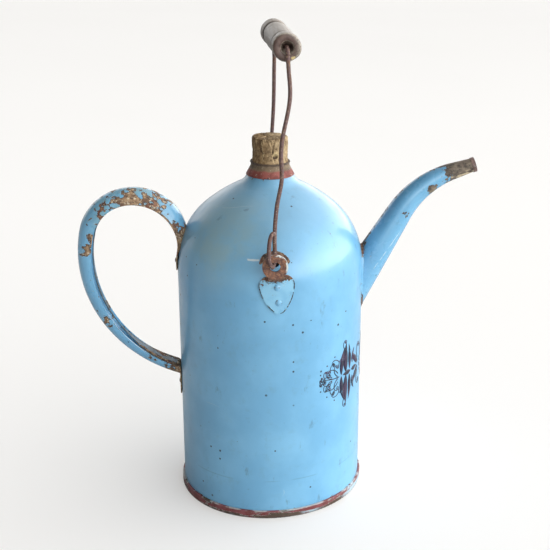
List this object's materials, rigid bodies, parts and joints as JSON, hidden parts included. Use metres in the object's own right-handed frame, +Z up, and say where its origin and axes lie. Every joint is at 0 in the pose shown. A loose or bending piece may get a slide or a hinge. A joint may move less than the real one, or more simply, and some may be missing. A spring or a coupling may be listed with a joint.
{
  "type": "pouring can",
  "caption": "Tall enamelled pouring can for lamp oil: domed shoulder, corked neck, curved spout, riveted strap handle, swinging wire bail with wooden grip.",
  "frame": {"origin": "centre of the resting face, on the body's axis", "axes": "+Z up along the body's axis, +X towards the spout, strap handle along -X, bail ears at -Y (front) and +Y (rear)"},
  "size_m": [0.3542, 0.1914, 0.4265],
  "materials": {
    "blue_enamel": "glossy vitreous enamel, chipped",
    "foot_enamel": "enamel worn to rust",
    "collar_metal": "rusted, with enamel remains",
    "cork": "matt cork",
    "ferrule_metal": "tarnished",
    "rusty_steel": "matt rust",
    "grip_wood": "weathered, satin from use"
  },
  "bodies": {
    "can": {"body_shell": "blue_enamel", "base_plate": "foot_enamel", "neck_collar": "collar_metal", "spout_tube": "blue_enamel", "spout_ferrule": "ferrule_metal", "handle_channel": "blue_enamel", "handle_strip": "blue_enamel", "handle_rivets": "rusty_steel", "front_ear": "blue_enamel", "rear_ear": "blue_enamel", "ear_rivets": "blue_enamel"},
    "bail": {"bail_wire": "rusty_steel"},
    "grip": {"bail_grip": "grip_wood"},
    "cork": {"cork_stopper": "cork"}
  },
  "joints": [
    {"name": "bail_swing", "type": "hinge", "parent": "can", "child": "bail", "pos_m": [0, 0, 0.2416], "axis": [0, 1, 0], "range_deg": [-84, 60]},
    {"name": "grip_spin", "type": "hinge", "parent": "bail", "child": "grip", "pos_m": [0.0091, 0, 0.4143], "axis": [-0.0663, 0.9978, 0], "continuous": true},
    {"name": "cork_pull", "type": "slide", "parent": "can", "child": "cork", "axis": [0, 0, 1], "range_m": [0, 0.035]}
  ]
}
